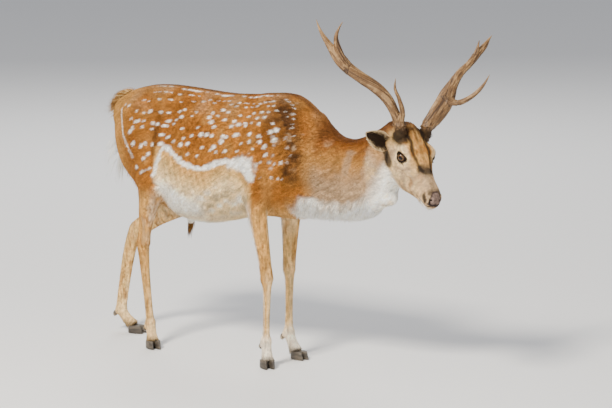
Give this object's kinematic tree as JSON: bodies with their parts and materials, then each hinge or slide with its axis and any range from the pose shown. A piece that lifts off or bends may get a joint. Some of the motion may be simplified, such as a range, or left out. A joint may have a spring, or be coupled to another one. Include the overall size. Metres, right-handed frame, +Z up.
{
  "type": "fallow deer",
  "caption": "Life-size still model of a fallow deer buck standing with its head lowered, with branched antlers and a white-spotted chestnut coat.",
  "frame": {"origin": "middle of the model's box, on the ground under it", "axes": "+X along the body towards the nose, +Y to the animal's left, +Z up"},
  "size_m": [1.5566, 0.5785, 1.1938],
  "materials": {
    "coat": "matte hair",
    "pale_hair": "matte hair",
    "antler": "rough bone",
    "hoof": "satin horn",
    "eye": "wet"
  },
  "bodies": {
    "root": {"trunk": "coat", "neck": "coat", "head": "coat", "tail": "pale_hair", "foreleg_right": "coat", "claw_foreleg_right_right": "hoof", "dewclaw_foreleg_right_right": "hoof", "claw_foreleg_right_left": "hoof", "dewclaw_foreleg_right_left": "hoof", "foreleg_left": "coat", "claw_foreleg_left_right": "hoof", "dewclaw_foreleg_left_right": "hoof", "claw_foreleg_left_left": "hoof", "dewclaw_foreleg_left_left": "hoof", "hindleg_right": "coat", "claw_hindleg_right_right": "hoof", "dewclaw_hindleg_right_right": "hoof", "claw_hindleg_right_left": "hoof", "dewclaw_hindleg_right_left": "hoof", "hindleg_left": "coat", "claw_hindleg_left_right": "hoof", "dewclaw_hindleg_left_right": "hoof", "claw_hindleg_left_left": "hoof", "dewclaw_hindleg_left_left": "hoof", "ear_right": "coat", "eye_right": "eye", "ear_left": "coat", "eye_left": "eye", "antler_right_beam": "antler", "antler_right_front_tip": "antler", "antler_right_back_tip": "antler", "antler_right_brow_tine": "antler", "antler_left_beam": "antler", "antler_left_upper_beam": "antler", "antler_left_front_tine": "antler"}
  },
  "joints": []
}
